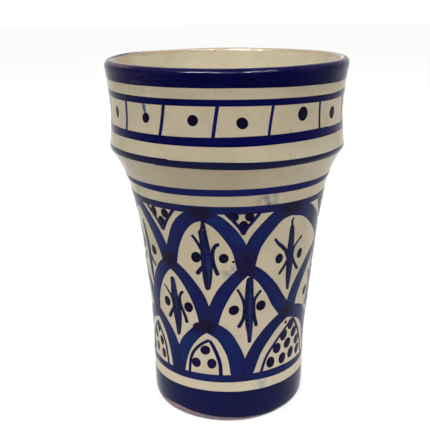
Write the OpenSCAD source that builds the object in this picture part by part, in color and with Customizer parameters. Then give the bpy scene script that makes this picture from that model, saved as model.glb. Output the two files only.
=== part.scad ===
// Hand-thrown earthenware tumbler with cream glaze and brushed cobalt fish-scale decoration.
// It stands on z = 0 with its axis on Z, and the photographed side faces -Y. Sizes are in mm.

/* [Body] */
// Height from the foot to the crest of the lip, glaze included
body_h = 120; // [114:1:144]
// Diameter of the glazed collar where the lip starts to round over
mouth_d = 79.8; // [74:0.2:96]
// Diameter where the flare meets the rounded ridge of the shoulder
shoulder_d = 77.2; // [74:0.2:80]
// Diameter of the wall where it starts to flare to the shoulder
neck_d = 66.2; // [62:0.2:69]
// Diameter of the upright wall a little above the foot
waist_d = 53.6; // [44:0.2:64.4]
// How far the wall draws in from the waist to the foot, on the radius
foot_draw = 0.6; // [0.3:0.1:1.2]
// Height of the collar, from the shoulder ridge to the crest of the lip
collar_h = 29.2; // [25:0.1:32]
// Height of the flare under the shoulder ridge
flare_h = 13.8; // [12:0.1:18]
// Height of the upright waist above the foot
waist_z = 13; // [10:0.5:15]
// Inward lean of the collar just above the ridge, in degrees
collar_lean = 8; // [5:0.5:11]
// Rounding of the shoulder ridge
ridge_r = 2.5; // [1.5:0.1:4]
// Height of the rounded part of the lip
lip_h = 2.2; // [1.6:0.1:2.6]

/* [Wall and foot] */
// Wall thickness from the outer glaze to the inner glaze
wall_t = 4.6; // [3.6:0.1:5.8]
// Thickness of the collar, drawn thinner than the wall below
collar_t = 3; // [2.6:0.1:3.6]
// Height of the inside floor, glaze included
floor_z = 7; // [5:0.5:10]
// Rounding between the inside floor and the wall
floor_corner_r = 9; // [5:0.5:12]
// Rounding of the inside under the shoulder
shoulder_in_r = 10; // [6:0.5:12]
// Rounding of the foot's outer edge
foot_edge_r = 0.8; // [0.4:0.1:1.2]
// Radius of the shallow hollow turned in the underside
recess_r = 19; // [12:0.5:21]
// Depth of that hollow
recess_h = 1.2; // [0.6:0.1:2]

/* [Glaze and paint] */
// Thickness of each cream glaze coat
glaze_t = 0.4; // [0.3:0.05:0.6]
// Thickness of the brushed cobalt
paint_t = 0.12; // [0.1:0.01:0.2]
// Height of the bare clay left at the foot
bare_h = 1.6; // [1.2:0.1:3]

/* [Painted rings] */
// Depth of the dark band below the crest of the lip
lip_band_h = 5.7; // [4:0.1:7]
// Bare glaze left between that band and the crest of the lip
lip_bare = 0.1; // [0.05:0.05:0.4]
// Brush width of the upper collar ring
collar_line = 2.1; // [1:0.1:3]
// Brush width of the lower collar ring
collar_base_line = 2.7; // [1:0.1:3.2]
// Top of the upper collar ring below the crest of the lip
collar_top_drop = 8.9; // [8:0.1:11]
// Top of the lower collar ring below the crest of the lip
collar_base_drop = 19.7; // [18:0.1:21]
// Brush width of the shoulder, neck and frieze rings
ring_line = 2.4; // [1:0.1:2.8]
// Top of the shoulder ring above the flare's upper end
shoulder_ring_up = 2.2; // [1.6:0.1:3]
// Top of the neck ring above the start of the flare
neck_ring_up = 6.8; // [5:0.1:9]
// Top of the frieze's upper ring above the start of the flare
frieze_top_up = 0.9; // [0:0.1:2]
// Top of the frieze's lower ring above the foot
frieze_base_z = 17.8; // [16:0.1:20]
// Top of the wide foot band above the foot
foot_band_z = 11.8; // [9:0.1:13]
// Bare strip of glaze or clay under the foot band
foot_band_low = 1.7; // [1.7:0.1:4]

/* [Painted motifs] */
// Panels round the collar, each with one dot
panel_count = 15; // [10:1:18]
// Brush width of the lines between the panels
divider_w = 0.8; // [0.5:0.1:1.5]
// Sideways slant of those lines from bottom to top
divider_slant = 1.1; // [0:0.1:2]
// Turn of the first panel from the front, in degrees
panel_turn = -5; // [-12:1:12]
// Radius of the collar dots
panel_dot_r = 1.9; // [1:0.05:2.1]
// Brush width of the scales
scale_w = 4.7; // [3.6:0.1:5.6]
// Width at the top of the V strokes between the first crowns
spandrel_w = 12.8; // [9:0.2:14]
// Depth of those V strokes
spandrel_h = 7; // [5:0.5:9]
// Turn of those V strokes from the crowns below them, in degrees
spandrel_turn = -2; // [-4:0.5:4]
// Length of the leaf in each scale
leaf_h = 20; // [14:0.5:25.2]
// Width of the leaf
leaf_w = 3; // [2:0.1:3.6]
// Length of the two brackets that touch each leaf
bracket_h = 12.5; // [10:0.5:16.8]
// Brush width of the brackets
bracket_w = 1.5; // [0.8:0.1:1.8]
// How far a bracket bows towards its leaf
bracket_bow = 1.7; // [1:0.1:3]
// How far a bracket's belly overlaps the leaf
bracket_lap = 0.4; // [0.2:0.1:0.8]
// Radius of the dots inside the frieze
dot_r = 1.35; // [1:0.05:1.6]
// Brush width of the fine lines inside the frieze
fine_w = 0.9; // [0.5:0.1:1.2]
// Bare strip between a lowest scale and the fine arch inside it
fine_gap = 1.9; // [1.4:0.1:2.4]
// Least bare strip round a dot
dot_gap = 0.4; // [0.2:0.1:0.8]
// Distance between the dots in a fine arch
dot_pitch = 4.2; // [3.4:0.1:5]

/* [Hidden] */
$fn = 180;

// Hand-set places of the scale crowns round the cup in degrees, one list for each row of scales.
row_1 = [-68, -16, 39, 102, 166, 230];
row_2 = [-40, 12, 74, 134, 198, 260];
row_3 = [-62, -15, 48, 104, 166, 230];
columns = len(row_1);
// The crowns of the three rows, as parts of the frieze's height from its top.
crown_part = [0, 0.29, 0.655];
// The middles of the leaves below the brush strokes of their crowns, as parts of the frieze's height.
leaf_part = [0.215, 0.262];
cream = [0.82, 0.77, 0.67];
cobalt = [0.07, 0.09, 0.34];
clay = [0.62, 0.50, 0.46];

mouth_r = mouth_d / 2;
shoulder_r = shoulder_d / 2;
neck_r = neck_d / 2;
waist_r = waist_d / 2;
lip_z = body_h - lip_h;
shoulder_z = body_h - collar_h;
neck_z = shoulder_z - flare_h;
frieze_hi = neck_z + frieze_top_up - ring_line;
frieze_lo = frieze_base_z;
frieze_h = frieze_hi - frieze_lo;

// Every curve of the wall starts where the last one ends and in the same direction. A lean of 0 is upright.
function out(lean) = [cos(lean), -sin(lean)];
function curve_r(p, q, lean) = (q - p) * (q - p) / (2 * ((q - p) * out(lean)));
function curve_end(p, q, lean) = lean + 2 * asin(norm(q - p) / (2 * curve_r(p, q, lean)));
// A round turns about a centre inside the clay, and a sweep about one outside it.
function turn(c, r, a, b, n) = [for (i = [1:n]) c + r * out(a + (b - a) * i / n)];
function sweep(c, r, a, b, n) = [for (i = [1:n]) c - r * out(a + (b - a) * i / n)];
function back(v) = [for (i = [len(v) - 1:-1:0]) v[i]];
function wrap(i) = (i + columns) % columns;
function between(a, b) = (b - a + 720) % 360;

// The outside, from the foot to the crest of the lip.
waist_p = [waist_r, waist_z];
neck_p = [neck_r, neck_z];
shoulder_p = [shoulder_r, shoulder_z];
lip_p = [mouth_r, lip_z];
foot_r = (foot_draw * foot_draw + waist_z * waist_z) / (2 * foot_draw);
foot_c = [waist_r - foot_r, waist_z];
edge_lean = asin((waist_z - foot_edge_r) / (foot_r - glaze_t - foot_edge_r));
edge_c = [foot_c[0] + (foot_r - glaze_t - foot_edge_r) * cos(edge_lean), foot_edge_r];
wall_r = curve_r(waist_p, neck_p, 0);
wall_c = waist_p + wall_r * out(0);
neck_lean = curve_end(waist_p, neck_p, 0);
flare_r = curve_r(neck_p, shoulder_p, neck_lean);
flare_c = neck_p + flare_r * out(neck_lean);
flare_lean = curve_end(neck_p, shoulder_p, neck_lean);
ridge_c = shoulder_p - ridge_r * out(flare_lean);
collar_p = ridge_c + ridge_r * out(-collar_lean);
collar_r = curve_r(collar_p, lip_p, -collar_lean);
collar_c = collar_p + collar_r * out(-collar_lean);
lip_lean = curve_end(collar_p, lip_p, -collar_lean);
lip_r = lip_h / (1 + sin(lip_lean));
lip_c = lip_p - lip_r * out(lip_lean);
function foot_edge() = [for (i = [0:4]) edge_c + foot_edge_r * out(90 + (edge_lean - 90) * i / 5)];
function outside(t) = concat([foot_c + (foot_r + t) * out(edge_lean)],
    turn(foot_c, foot_r + t, edge_lean, 0, 4), sweep(wall_c, wall_r - t, 0, neck_lean, 11),
    sweep(flare_c, flare_r - t, neck_lean, flare_lean, 7), turn(ridge_c, ridge_r + t, flare_lean, -collar_lean, 5),
    sweep(collar_c, collar_r - t, -collar_lean, lip_lean, 8), turn(lip_c, lip_r + t, lip_lean, -90, 8));

// The inside, from the crest of the lip to the middle of the floor.
// The hollow under the shoulder touches the inner sides of the collar and of the flare.
collar_in_r = collar_r + collar_t;
flare_in_r = flare_r + wall_t;
lip_to_c = [lip_c[0], body_h] - collar_c;
rim_r = (collar_in_r * collar_in_r - lip_to_c * lip_to_c) / (2 * (collar_in_r - lip_to_c[1]));
rim_c = [lip_c[0], body_h - rim_r];
span = flare_c - collar_c;
along = (pow(collar_in_r + shoulder_in_r, 2) - pow(flare_in_r + shoulder_in_r, 2) + span * span) / (2 * norm(span));
across = sqrt(pow(collar_in_r + shoulder_in_r, 2) - along * along);
hollow_c = collar_c + (along * span + across * [span[1], -span[0]]) / norm(span);
function lean_to(c, p) = atan2(p[1] - c[1], c[0] - p[0]);
rim_lean = lean_to(collar_c, rim_c);
collar_in_lean = lean_to(collar_c, hollow_c);
inner_lean = lean_to(flare_c, hollow_c);
floor_lean = asin((floor_z + floor_corner_r - waist_z) / (wall_r + wall_t + floor_corner_r));
corner_c = wall_c - (wall_r + wall_t + floor_corner_r) * out(floor_lean);
function rim(t) = turn(rim_c, rim_r + t, -90, rim_lean - 180, 8);
function inside(t) = concat(rim(t), sweep(collar_c, collar_in_r + t, rim_lean, collar_in_lean, 7),
    turn(hollow_c, shoulder_in_r - t, collar_in_lean, inner_lean, 6),
    sweep(flare_c, flare_in_r + t, inner_lean, neck_lean, 6),
    sweep(wall_c, wall_r + wall_t + t, neck_lean, floor_lean, 10),
    turn(corner_c, floor_corner_r - t, floor_lean, 90, 8), [[0, floor_z + t]]);
function crest(t) = [[lip_c[0], body_h + t]];

// A coat of paint on the outer glaze between two heights.
module paint_ring(low, high) {
    rotate_extrude() intersection() {
        polygon(concat(outside(paint_t), back(outside(0))));
        translate([0, low]) square([2 * mouth_d, high - low]);
    }
}

// A flat shape carried straight out through the wall at an angle from the front.
module brushed(angle) {
    rotate([0, 0, angle]) rotate([90, 0, 0]) translate([0, 0, waist_r / 2]) linear_extrude(mouth_d) children();
}

// A pointed arch drawn with one brush width, its legs upright at the bottom.
module arch(left, right, top, low, w) {
    h = top - w / 2 - low;
    rl = (left * left + h * h) / (2 * left);
    rr = (right * right + h * h) / (2 * right);
    intersection() {
        difference() {
            intersection() {
                translate([rl - left, low]) circle(rl + w / 2);
                translate([right - rr, low]) circle(rr + w / 2);
            }
            intersection() {
                translate([rl - left, low]) circle(rl - w / 2);
                translate([right - rr, low]) circle(rr - w / 2);
            }
        }
        translate([-mouth_d, low]) square([2 * mouth_d, mouth_d]);
    }
}

function crown_z(row) = frieze_hi - crown_part[row] * frieze_h;
// Half width of a scale, from its crown to a crown of the row below.
function half(a, b, z) = sin(between(a, b))
    * (waist_r + (neck_r - waist_r) * pow((z - waist_z) / (neck_z - waist_z), 2));

module clay_body() {
    color(clay) rotate_extrude() polygon(concat([[0, recess_h], [recess_r - recess_h, recess_h], [recess_r, 0]],
        foot_edge(), outside(-glaze_t), inside(-glaze_t)));
}

module inner_glaze() {
    color(cream) rotate_extrude() polygon(concat(crest(0), inside(0), back(inside(-glaze_t)), crest(-glaze_t)));
}

module outer_glaze() {
    color(cream) rotate_extrude() intersection() {
        polygon(concat(outside(0), back(outside(-glaze_t))));
        translate([0, bare_h]) square([2 * mouth_d, 2 * body_h]);
    }
}

module lip_band() {
    color(cobalt) paint_ring(body_h - lip_band_h, body_h - lip_bare);
}

module collar_top_ring() {
    color(cobalt) paint_ring(body_h - collar_top_drop - collar_line, body_h - collar_top_drop);
}

module collar_base_ring() {
    color(cobalt) paint_ring(body_h - collar_base_drop - collar_base_line, body_h - collar_base_drop);
}

module panel_dividers() {
    low = body_h - collar_base_drop;
    high = body_h - collar_top_drop - collar_line;
    color(cobalt) intersection() {
        paint_ring(low, high);
        for (i = [0:panel_count - 1]) brushed(panel_turn + i * 360 / panel_count)
            polygon([[-divider_slant / 2, low - 1], [divider_w - divider_slant / 2, low - 1],
                [divider_w + divider_slant / 2, high + 1], [divider_slant / 2, high + 1]]);
    }
}

module panel_dots() {
    low = body_h - collar_base_drop;
    high = body_h - collar_top_drop - collar_line;
    color(cobalt) intersection() {
        paint_ring(low + paint_t, high - paint_t);
        for (i = [0:panel_count - 1]) brushed(panel_turn + (i + 0.5) * 360 / panel_count)
            translate([0, (low + high) / 2]) circle(panel_dot_r);
    }
}

module shoulder_ring() {
    color(cobalt) paint_ring(shoulder_z + shoulder_ring_up - ring_line, shoulder_z + shoulder_ring_up);
}

module neck_ring() {
    color(cobalt) paint_ring(neck_z + neck_ring_up - ring_line, neck_z + neck_ring_up);
}

module frieze_top_ring() {
    color(cobalt) paint_ring(frieze_hi, frieze_hi + ring_line);
}

// The brushed shapes, cut to the coat of paint between the frieze's rings.
module on_frieze() {
    intersection() {
        paint_ring(frieze_lo, frieze_hi);
        children();
    }
}

// Each row of arches stands on the crowns of the row below, and the lowest row stands on the base ring.
module scale_net() {
    mid_1 = crown_z(1) - scale_w / 2;
    mid_2 = crown_z(2) - scale_w / 2;
    color(cobalt) union() {
        on_frieze() for (i = [0:columns - 1]) brushed(row_1[i])
            arch(half(row_2[wrap(i - 1)], row_1[i], mid_1), half(row_1[i], row_2[i], mid_1),
                crown_z(0) + scale_w / 4, mid_1, scale_w);
        on_frieze() for (i = [0:columns - 1]) brushed(row_2[i])
            arch(half(row_3[i], row_2[i], mid_2), half(row_2[i], row_3[wrap(i + 1)], mid_2),
                crown_z(1), mid_2, scale_w);
        on_frieze() for (i = [0:columns - 1]) brushed(row_3[i])
            arch(half(row_2[wrap(i - 1)], row_3[i], frieze_lo), half(row_3[i], row_2[i], frieze_lo),
                crown_z(2), frieze_lo - 1, scale_w);
    }
}

// The triangles between the first crowns hold one fine V and three dots each.
module spandrel_lines() {
    side = spandrel_w / 2;
    tip = frieze_hi - spandrel_h;
    // The stroke's width measured along the top and down the middle of the V.
    along = fine_w * norm([side, spandrel_h]) / spandrel_h;
    down = fine_w * norm([side, spandrel_h]) / side;
    color(cobalt) intersection() {
        paint_ring(frieze_lo, frieze_hi);
        for (i = [0:columns - 1]) brushed(row_2[i] + spandrel_turn) difference() {
            polygon([[-side, frieze_hi], [0, tip], [side, frieze_hi]]);
            polygon([[along - side, frieze_hi], [0, tip + down], [side - along, frieze_hi]]);
        }
    }
}

module spandrel_dots() {
    color(cobalt) intersection() {
        paint_ring(frieze_lo, frieze_hi - paint_t);
        for (i = [0:columns - 1], p = [[-0.15, 0.25], [0.15, 0.25], [0, 0.57]]) brushed(row_2[i] + spandrel_turn)
            translate([p[0] * spandrel_w, frieze_hi - p[1] * spandrel_h]) circle(dot_r - dot_gap / 2);
    }
}

// A leaf and its two brackets are one stroke group in each scale of the two upper rows.
// It hangs below its crown's stroke, and stands halfway over from its crown to the fork of the scales below.
function leaf_z(row) = crown_z(row) - scale_w / 2 - leaf_part[row] * frieze_h;
function leaf_turn(a, crown, b) = crown + (between(crown, b) - between(a, crown)) / 4;
leaf_turn_1 = [for (i = [0:columns - 1]) leaf_turn(row_2[wrap(i - 1)], row_1[i], row_2[i])];
leaf_turn_2 = [for (i = [0:columns - 1]) leaf_turn(row_3[i], row_2[i], row_3[wrap(i + 1)])];
module leaf() {
    r = (leaf_h * leaf_h + leaf_w * leaf_w) / (4 * leaf_w);
    b = (bracket_h * bracket_h / 4 + bracket_bow * bracket_bow) / (2 * bracket_bow);
    intersection() {
        translate([r - leaf_w / 2, 0]) circle(r);
        translate([leaf_w / 2 - r, 0]) circle(r);
    }
    reach = bracket_bow + bracket_w;
    for (s = [-1, 1]) intersection() {
        translate([s * (b + leaf_w / 2 - bracket_lap), 0]) difference() {
            circle(b);
            circle(b - bracket_w);
        }
        translate([s * (leaf_w + reach) / 2 - reach, -bracket_h / 2]) square([2 * reach, bracket_h]);
    }
}

module leaf_sprays() {
    color(cobalt) intersection() {
        paint_ring(frieze_lo, frieze_hi);
        for (i = [0:columns - 1]) {
            brushed(leaf_turn_1[i]) translate([0, leaf_z(0)]) leaf();
            brushed(leaf_turn_2[i]) translate([0, leaf_z(1)]) leaf();
        }
    }
}

leaf_dot_x = leaf_w / 2 + bracket_w + dot_r + dot_gap;
module leaf_dots() {
    color(cobalt) intersection() {
        paint_ring(frieze_lo, frieze_hi);
        for (i = [0:columns - 1], s = [-1, 1]) {
            brushed(leaf_turn_1[i]) translate([s * leaf_dot_x, leaf_z(0)]) circle(dot_r);
            brushed(leaf_turn_2[i]) translate([s * leaf_dot_x, leaf_z(1)]) circle(dot_r);
        }
    }
}

// The lowest scales hold a fine arch filled with dots.
function fine_left(i) = half(row_2[wrap(i - 1)], row_3[i], frieze_lo) - scale_w / 2 - fine_gap;
function fine_right(i) = half(row_3[i], row_2[i], frieze_lo) - scale_w / 2 - fine_gap;
fine_top = crown_z(2) - scale_w - fine_gap - fine_w / 2;
module arch_lines() {
    color(cobalt) intersection() {
        paint_ring(frieze_lo, frieze_hi);
        for (i = [0:columns - 1]) brushed(row_3[i])
            arch(fine_left(i), fine_right(i), fine_top, frieze_lo - 1, fine_w);
    }
}

function clear(w, x, z) = let (h = fine_top - fine_w / 2 - frieze_lo + 1, r = (w * w + h * h) / (2 * w))
    norm([x + w - r, z - frieze_lo + 1]) < r - fine_w / 2 - dot_r - dot_gap;
module arch_dots() {
    color(cobalt) intersection() {
        paint_ring(frieze_lo + paint_t, frieze_hi);
        for (i = [0:columns - 1], row = [0:2], k = [-3:3])
            let (x = (k + row % 2 / 2) * dot_pitch, z = frieze_lo + dot_r + 3 * dot_gap + row * dot_pitch)
                if (clear(fine_left(i), x, z) && clear(fine_right(i), -x, z))
                    brushed(row_3[i]) translate([x, z]) circle(dot_r);
    }
}

module frieze_base_ring() {
    color(cobalt) paint_ring(frieze_lo - ring_line, frieze_lo);
}

module foot_band() {
    color(cobalt) paint_ring(foot_band_low, foot_band_z);
}

clay_body();
inner_glaze();
outer_glaze();
lip_band();
collar_top_ring();
panel_dividers();
panel_dots();
collar_base_ring();
shoulder_ring();
neck_ring();
frieze_top_ring();
scale_net();
spandrel_lines();
spandrel_dots();
leaf_sprays();
leaf_dots();
arch_lines();
arch_dots();
frieze_base_ring();
foot_band();
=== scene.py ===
import math
import random

import bpy
import numpy as np
from mathutils import Euler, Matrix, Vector


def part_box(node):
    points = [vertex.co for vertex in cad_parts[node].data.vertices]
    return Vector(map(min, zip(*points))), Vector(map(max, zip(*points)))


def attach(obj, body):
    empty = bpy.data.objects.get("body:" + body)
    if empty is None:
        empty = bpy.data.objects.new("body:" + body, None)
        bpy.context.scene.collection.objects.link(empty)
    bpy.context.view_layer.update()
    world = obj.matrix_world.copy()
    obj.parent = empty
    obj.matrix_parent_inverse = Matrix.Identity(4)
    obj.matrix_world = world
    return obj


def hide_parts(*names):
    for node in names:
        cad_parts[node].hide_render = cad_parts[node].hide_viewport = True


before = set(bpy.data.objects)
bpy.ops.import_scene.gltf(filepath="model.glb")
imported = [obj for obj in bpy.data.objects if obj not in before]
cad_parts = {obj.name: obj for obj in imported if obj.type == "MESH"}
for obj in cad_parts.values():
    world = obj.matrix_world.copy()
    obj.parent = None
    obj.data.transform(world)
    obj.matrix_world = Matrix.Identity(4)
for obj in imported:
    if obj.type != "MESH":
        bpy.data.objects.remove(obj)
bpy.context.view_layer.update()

# Clay body
# Buff-pink earthenware, thrown on a wheel, turned at the foot and fired once. Only its foot and
# underside stay bare. Its wall gives the shape that the glaze and the paint follow.
MM = 0.001
turn_steps = 216
recess_r = 19
recess_h = 1.2
side_facing = 0.02
floor_facing = 0.9
least_step = 0.05
# How far the wall swells out and leans aside, set by height.
swell = [(0, 0.12), (4, 0.25), (9, 0.14), (12, 0.1), (25, 0.1), (35, 0.28), (45, 0.36), (55, 0.26),
         (61, 0.05), (67, -0.1), (72, -0.1), (78, 0.02), (84, 0.1), (88, 0.16), (93, 0.26), (97, 0.3),
         (103, 0.2), (108, 0.3), (112, 0.32), (118, 0.05)]
lean = [(5, -0.15), (20, -0.13), (35, 0.25), (45, 0.36), (60, 0.42), (67, 0.33), (74, 0.25), (80, 0.1),
        (88, 0.05), (92, -0.05), (100, -0.06), (112, -0.08), (120, 0.05)]
# How far the rim and the foot rise and the foot bulges, set by degrees from the front.
rim_rise = [(-180, 0.08), (-145, -0.08), (-115, 0.15), (-95, 0), (-60, 0), (0, -0.25), (60, -0.1),
            (90, 0), (117, -0.12), (155, -0.15)]
foot_rise = [(-60, 0), (10, 0), (28, 0.2), (45, 0.45), (60, 0.45), (85, 0.15), (110, 0)]
foot_bulge = [(-75, 0), (-35, 0.15), (-12, 0.4), (15, 0.45), (40, 0.1), (70, 0)]
foot_top = 9
foot_fade = 4
rim_h = 120
rim_fade = 12
wobble = 0.03
wobble_turns = 3
wobble_start = 0.6
wobble_climb = 55
full_swell_r = 20
weld = 0.01
wall_crease = math.radians(40)


def wall_line(node, facing):
    """Radius and height in mm along the outer (1) or inner (-1) side of a turned CAD node, upwards."""
    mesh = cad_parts[node].data
    found = set()
    for face in mesh.polygons:
        away = Vector((face.center.x, face.center.y, 0)).normalized().dot(face.normal)
        if away * facing > side_facing or (facing < 0 and face.normal.z > floor_facing):
            for number in face.vertices:
                place = mesh.vertices[number].co
                found.add((round(place.z / MM, 2), round(math.hypot(place.x, place.y) / MM, 2)))
    line = []
    for height, radius in sorted(found):
        if not line or math.hypot(radius - line[-1][0], height - line[-1][1]) > least_step:
            line.append((radius, height))
    return line


def around(steps, angle):
    """A value set at angles in degrees round the cup, read at angles in radians."""
    return np.interp(np.degrees(angle), *zip(*steps), period=360)


def thrown(mesh):
    """Gives a mesh the slow wander of a hand-thrown wall, so that every layer wanders alike."""
    places = np.empty(len(mesh.vertices) * 3, np.float32)
    mesh.vertices.foreach_get("co", places)
    places = places.reshape(-1, 3).astype(float)
    angle = np.arctan2(places[:, 0], -places[:, 1])
    height = places[:, 2] / MM
    radius = np.maximum(np.hypot(places[:, 0], places[:, 1]) / MM, 1)
    wave = np.sin(wobble_turns * angle - wobble_start - height / wobble_climb)
    more = np.interp(height, *zip(*swell)) + wobble * wave
    near_foot = np.clip(1 - height / foot_top, 0, 1) ** 2
    more += near_foot * around(foot_bulge, angle)
    aside = np.interp(height, *zip(*lean))
    out = (radius + more * np.minimum(radius / full_swell_r, 1)) * MM
    places[:, 0] = out * np.sin(angle - aside / radius) + aside * MM
    places[:, 1] = -out * np.cos(angle - aside / radius)
    places[:, 2] += around(rim_rise, angle) * MM * (height / rim_h) ** rim_fade
    worn = around(foot_rise, angle)
    places[:, 2] += worn * MM * near_foot * np.clip((radius - recess_r) / foot_fade, 0, 1)
    mesh.vertices.foreach_set("co", places.astype(np.float32).ravel())
    mesh.update()


def turned(name, outline):
    """A closed solid turned about the upright axis from an outline of radius and height in mm."""
    bpy.ops.object.select_all(action="DESELECT")
    bpy.ops.mesh.primitive_plane_add(size=MM)
    piece = bpy.context.object
    piece.name = name
    bpy.ops.object.mode_set(mode="EDIT")
    bpy.ops.mesh.merge(type="CENTER")
    last = (0, 0)
    for number, (radius, height) in enumerate(outline):
        step = ((radius - last[0]) * MM, 0, (height - last[1]) * MM)
        if number:
            bpy.ops.mesh.extrude_region_move(TRANSFORM_OT_translate={"value": step})
        else:
            bpy.ops.transform.translate(value=step)
        last = (radius, height)
    bpy.ops.mesh.select_all(action="SELECT")
    bpy.ops.mesh.spin(steps=turn_steps, angle=math.tau, center=(0, 0, 0), axis=(0, 0, 1))
    bpy.ops.mesh.select_all(action="SELECT")
    bpy.ops.mesh.remove_doubles(threshold=weld * MM)
    bpy.ops.mesh.normals_make_consistent(inside=False)
    bpy.ops.object.mode_set(mode="OBJECT")
    bpy.ops.object.shade_smooth_by_angle(angle=wall_crease)
    return piece


def tint(red, green, blue):
    """A screen colour from 0 to 255 as the numbers that a shader takes, by the usual screen curve."""
    shares = [c / 255 for c in (red, green, blue)]
    return [c / 12.92 if c < 0.04045 else ((c + 0.055) / 1.055) ** 2.4 for c in shares] + [1]


def finish_of(name, roughness, gloss):
    """A new material with its shader, set to one roughness and one gloss, and the places on its piece."""
    made = bpy.data.materials.new(name)
    made.use_nodes = True
    surface = made.node_tree.nodes["Principled BSDF"]
    surface.inputs["Roughness"].default_value = roughness
    surface.inputs["Specular IOR Level"].default_value = gloss
    where = made.node_tree.nodes.new("ShaderNodeTexCoord").outputs["Object"]
    return made, made.node_tree, surface, where


def wire(tree, kind, sockets=(), **settings):
    """Adds a shader node, with each named socket set to a value or joined to another node's output."""
    made = tree.nodes.new("ShaderNode" + kind)
    for name, value in settings.items():
        setattr(made, name, value)
    for key, value in dict(sockets).items():
        if isinstance(value, bpy.types.NodeSocket):
            tree.links.new(value, made.inputs[key])
        else:
            made.inputs[key].default_value = value
    return made


def blend_of(tree, share, first, second):
    """The colour between two colours or outputs, by a share or an output."""
    return wire(tree, "Mix", {0: share, 6: first, 7: second}, data_type="RGBA").outputs[2]


def noise_of(tree, where, scale, detail):
    """Cloudy noise over the places of an output."""
    return wire(tree, "TexNoise", {"Vector": where, "Scale": scale, "Detail": detail}).outputs["Fac"]


def share_of(tree, value, start, full, most=1.0, least=0.0):
    """A share that goes from least to most while a value goes from start to full."""
    return wire(tree, "MapRange", {0: value, 1: start, 2: full, 3: least, 4: most}).outputs[0]


def relief(tree, surface, height, strength, depth):
    """Gives a shader the relief of an output, with its depth in mm."""
    bump = wire(tree, "Bump", {"Height": height, "Strength": strength, "Distance": depth * MM})
    tree.links.new(bump.outputs["Normal"], surface.inputs["Normal"])


clay_out = wall_line("clay_body", 1)
clay_in = [p for p in wall_line("clay_body", -1) if p[1] > 2 * recess_h]
underside = [(0, recess_h), (recess_r - recess_h, recess_h), (recess_r, 0)]
clay_body = turned("clay_body_fired", underside + clay_out + clay_in[::-1] + [(0, clay_in[0][1])])
thrown(clay_body.data)

# The bare clay's pink and grit, set darker to also paint the shade where the foot meets the floor.
clay_dull = tint(118, 98, 110)
clay_pink = tint(138, 118, 126)
clay_grit = tint(98, 80, 84)
clay, tree, surface, where = finish_of("fired_clay", roughness=0.75, gloss=0.2)
grit = noise_of(tree, where, scale=900, detail=6)
patches = noise_of(tree, where, scale=120, detail=3)
tone = blend_of(tree, patches, clay_dull, clay_pink)
tone = blend_of(tree, share_of(tree, grit, 0.55, 0.7), tone, clay_grit)
tree.links.new(tone, surface.inputs["Base Color"])
relief(tree, surface, grit, strength=0.35, depth=0.2)
clay_body.data.materials.append(clay)
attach(clay_body, "root")
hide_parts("clay_body")

# Inner and outer glaze
# Warm cream tin glaze, poured inside and dipped outside, about 0.4 mm thick. It has pinholes, a faint
# mottle and grey-blue brush smudges, and it is wiped off just above the foot. Its colour also holds painted
# shade high on the collar, on the flare and at the sides of the inner wall, and painted light low down.
sink = 0.05
wall_parts = 3
lip_start = 117
bare_edge = 0.1
coat_edge = 0.2
crest_t = 0.42
foot_coat_t = 0.45
slope_step = 0.1


def flowing(points, parts):
    """A smooth line through points, with each stretch cut into equal parts."""
    line = np.array(points, float)
    padded = np.vstack((2 * line[0] - line[1], line, 2 * line[-1] - line[-2]))
    share = np.linspace(0, 1, parts, endpoint=False)[:, None]
    rows = []
    for a, b, c, d in zip(padded, padded[1:], padded[2:], padded[3:]):
        bend = 2 * a - 5 * b + 4 * c - d + share * (3 * (b - c) + d - a)
        rows.append(b + 0.5 * share * (c - a + share * bend))
    return np.vstack(rows + [line[-1:]])


wall = flowing(wall_line("outer_glaze", 1), wall_parts)
foot_r, foot_z = wall[0]
crest_r, crest_z = wall[-1]
inner_line = wall_line("inner_glaze", -1)
inner_wall = flowing([(0, inner_line[0][1])] + inner_line, wall_parts)
bare_foot = [p for p in clay_out if p[1] < foot_z - bare_edge]
over_lip = np.vstack((bare_foot, wall, inner_wall[inner_wall[:, 1] > lip_start][::-1]))
along_lip = np.cumsum(np.hypot(*np.diff(over_lip[over_lip[:, 1] > lip_start], axis=0).T))
wall_h = over_lip[:, 1].copy()
wall_h[-len(along_lip):] = wall_h[-len(along_lip) - 1] + along_lip
crest_h = wall_h[len(bare_foot) + len(wall) - 1]


def wall_at(height):
    """Radius and height of the glazed wall at a height, which over the lip is counted along the surface."""
    return np.interp(height, wall_h, over_lip[:, 0]), np.interp(height, wall_h, over_lip[:, 1])


def on_wall(angle, height, lift):
    """Points in metres on the glazed wall, lifted off it, at angles in degrees from the front."""
    radius, level = wall_at(height)
    ahead, behind = wall_at(height + slope_step), wall_at(height - slope_step)
    out, up = ahead[0] - behind[0], ahead[1] - behind[1]
    long = np.hypot(out, up)
    far = (radius + lift * up / long) * MM
    turn = np.radians(angle)
    return np.stack((far * np.sin(turn), -far * np.cos(turn), (level - lift * out / long) * MM), axis=1)


glaze_roughness = 0.06
broad_stain = 8
stain_core = 0.2
hole_dark = 0.75
flat_lines = (60, 60, 800)
pale_share = 1.07
dull_shares = (0.9, 0.89, 0.85)
speck_brown = tint(140, 112, 92)
hole_brown = tint(96, 70, 52)


def math_of(tree, operation, *values):
    """One step of reckoning on values and outputs."""
    return wire(tree, "Math", dict(enumerate(values)), operation=operation).outputs[0]


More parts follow.
